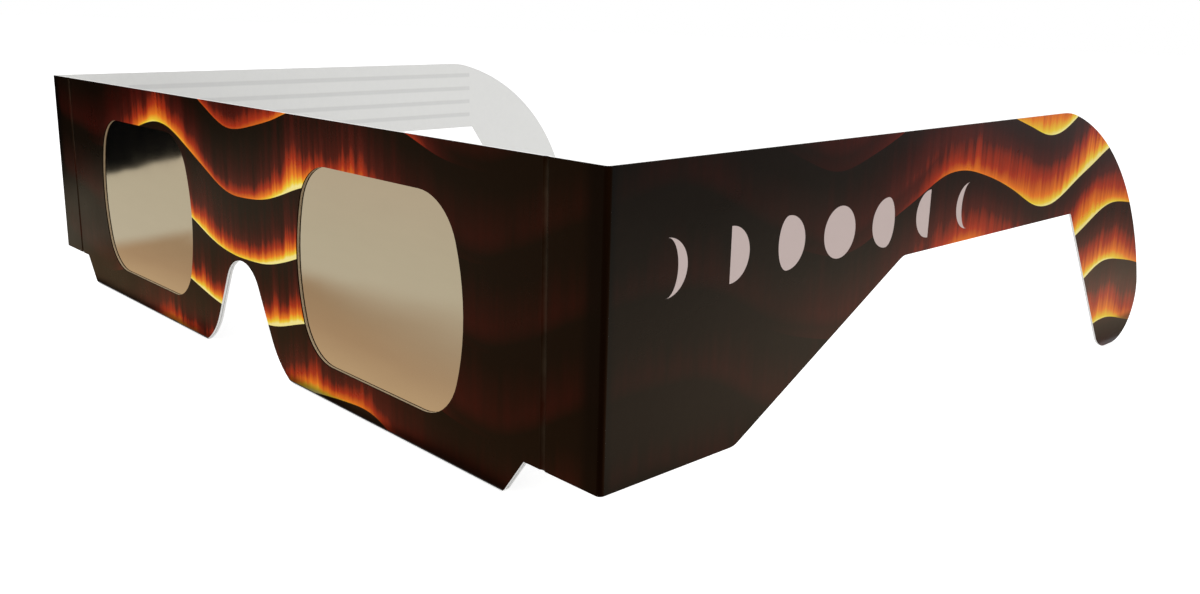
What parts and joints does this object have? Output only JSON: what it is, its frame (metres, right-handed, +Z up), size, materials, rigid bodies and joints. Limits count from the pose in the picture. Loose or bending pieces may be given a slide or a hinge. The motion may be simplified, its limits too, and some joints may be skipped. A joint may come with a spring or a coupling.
{
  "type": "solar viewing glasses",
  "caption": "Folded-board eclipse viewing glasses with filter-film windows, a nose notch and creased temples that fold flat and end in ear hooks.",
  "frame": {"origin": "on the front face at the middle of the bridge, level with the window centres", "axes": "+X across the face towards the wearer's left, +Y back along the temples, +Z up"},
  "size_m": [0.14, 0.1215, 0.038],
  "materials": {
    "printed_board": "gloss",
    "filter_film": "polished",
    "glue": "satin"
  },
  "bodies": {
    "face": {"front_panel": "printed_board", "back_panel": "printed_board", "left_bottom_fold": "printed_board", "right_bottom_fold": "printed_board", "left_corner_crease": "printed_board", "right_corner_crease": "printed_board", "left_filter_film": "filter_film", "right_filter_film": "filter_film", "top_glue_line": "glue", "left_glue_line": "glue", "right_glue_line": "glue", "bridge_glue_pad": "glue"},
    "left_arm": {"left_temple": "printed_board"},
    "right_arm": {"right_temple": "printed_board"}
  },
  "joints": [
    {"name": "left_temple_fold", "type": "hinge", "parent": "face", "child": "left_arm", "pos_m": [0.06947, 0.00053, 0.00265], "axis": [0, 0, 1], "range_deg": [-90, 90], "deforming": ["left_corner_crease"]},
    {"name": "right_temple_fold", "type": "hinge", "parent": "face", "child": "right_arm", "pos_m": [-0.06929, 0.00071, 0.00265], "axis": [0, 0, -1], "range_deg": [-90, 90], "deforming": ["right_corner_crease"]}
  ]
}
